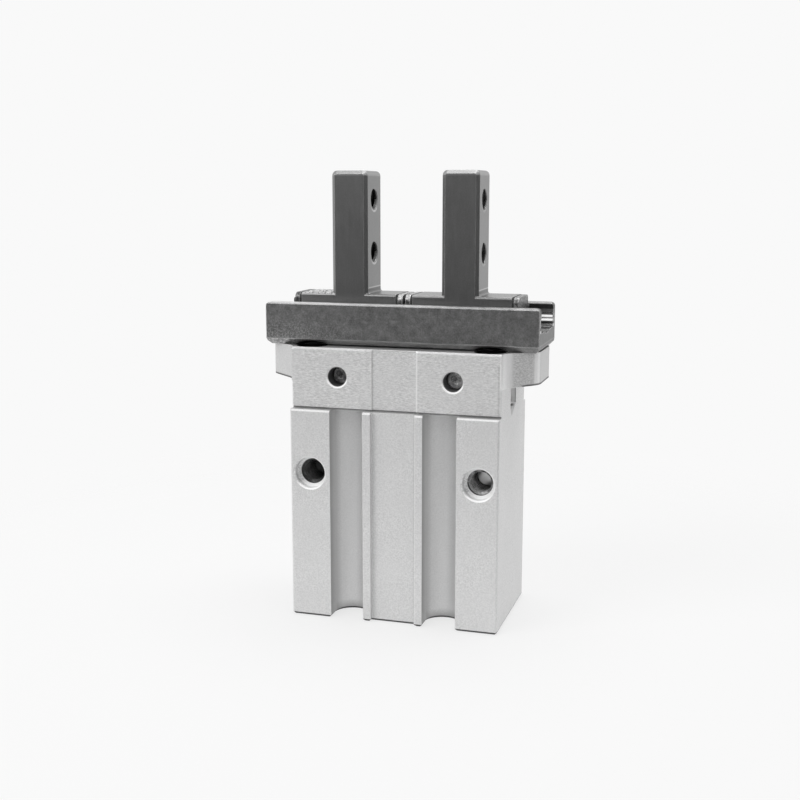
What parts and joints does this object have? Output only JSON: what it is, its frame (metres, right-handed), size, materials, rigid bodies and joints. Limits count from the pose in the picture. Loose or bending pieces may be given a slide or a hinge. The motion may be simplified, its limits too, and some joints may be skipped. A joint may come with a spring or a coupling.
{
  "type": "pneumatic parallel gripper",
  "caption": "Compact air-driven parallel gripper: an aluminium cylinder body with a steel guide rail on which two upright fingers slide apart and together.",
  "frame": {"origin": "centre of the body's lower face", "axes": "+X along the finger motion, -Y towards the front, +Z towards the finger tips"},
  "size_m": [0.0548, 0.025, 0.0881],
  "materials": {
    "body_aluminium": "bead-blasted clear anodised",
    "rail_steel": "ground dark steel",
    "finger_steel": "ground dark steel",
    "plate_steel": "stamped bare steel",
    "seal_rubber": "black nitrile",
    "ball_steel": "polished",
    "lever_steel": "hardened",
    "shaft_steel": "ground",
    "screw_steel": "black oxide",
    "piston_aluminium": "turned",
    "rod_steel": "hard chromed",
    "bush_bronze": "sintered bronze",
    "magnet": "sintered ferrite",
    "wear_polymer": "filled polymer",
    "cap_aluminium": "clear anodised",
    "ring_steel": "phosphated spring steel"
  },
  "bodies": {
    "housing": {"body": "body_aluminium", "guide_rail": "rail_steel", "rail_screws": "screw_steel", "rod_seal": "seal_rubber", "rod_bush": "bush_bronze", "seal_retainer": "plate_steel", "front_bumper": "seal_rubber", "rear_bumper": "seal_rubber", "rear_cap": "cap_aluminium", "cap_o_ring": "seal_rubber", "snap_ring": "ring_steel", "left_lever_shaft": "shaft_steel", "right_lever_shaft": "shaft_steel"},
    "piston_unit": {"piston": "piston_aluminium", "piston_rod": "rod_steel", "piston_bolt": "screw_steel", "piston_seal": "seal_rubber", "rod_joint": "lever_steel", "joint_bolt": "screw_steel", "wear_ring": "wear_polymer", "magnet_ring": "magnet"},
    "left_slider": {"left_finger": "finger_steel", "left_inner_plate": "plate_steel", "left_outer_plate": "plate_steel", "left_inner_seal": "seal_rubber", "left_outer_seal": "seal_rubber", "left_plate_screws": "screw_steel"},
    "left_ball_rows": {"left_balls": "ball_steel"},
    "left_bell_crank": {"left_lever": "lever_steel"},
    "right_slider": {"right_finger": "finger_steel", "right_inner_plate": "plate_steel", "right_outer_plate": "plate_steel", "right_inner_seal": "seal_rubber", "right_outer_seal": "seal_rubber", "right_plate_screws": "screw_steel"},
    "right_ball_rows": {"right_balls": "ball_steel"},
    "right_bell_crank": {"right_lever": "lever_steel"}
  },
  "joints": [
    {"name": "piston_slide", "type": "slide", "parent": "housing", "child": "piston_unit", "axis": [0, 0, 1], "range_m": [0, 0.00313]},
    {"name": "left_finger_slide", "type": "slide", "parent": "housing", "child": "left_slider", "axis": [-1, 0, 0], "range_m": [0, 0.005]},
    {"name": "left_lever_pivot", "type": "hinge", "parent": "housing", "child": "left_bell_crank", "pos_m": [-0.0116, 0, 0.0486], "axis": [0, -1, 0], "range_deg": [0, 24.07]},
    {"name": "left_ball_roll", "type": "slide", "parent": "housing", "child": "left_ball_rows", "axis": [-1, 0, 0], "range_m": [0, 0.0025]},
    {"name": "right_finger_slide", "type": "slide", "parent": "housing", "child": "right_slider", "axis": [1, 0, 0], "range_m": [0, 0.005]},
    {"name": "right_lever_pivot", "type": "hinge", "parent": "housing", "child": "right_bell_crank", "pos_m": [0.0116, 0, 0.0486], "axis": [0, 1, 0], "range_deg": [0, 24.07]},
    {"name": "right_ball_roll", "type": "slide", "parent": "housing", "child": "right_ball_rows", "axis": [1, 0, 0], "range_m": [0, 0.0025]}
  ],
  "couplings": [
    {"joint": "left_finger_slide", "follows": "piston_slide", "ratio": 1.5985},
    {"joint": "left_lever_pivot", "follows": "piston_slide", "rad_per_m": 134.31},
    {"joint": "left_ball_roll", "follows": "piston_slide", "ratio": 0.79925},
    {"joint": "right_finger_slide", "follows": "piston_slide", "ratio": 1.5985},
    {"joint": "right_lever_pivot", "follows": "piston_slide", "rad_per_m": 134.31},
    {"joint": "right_ball_roll", "follows": "piston_slide", "ratio": 0.79925}
  ]
}
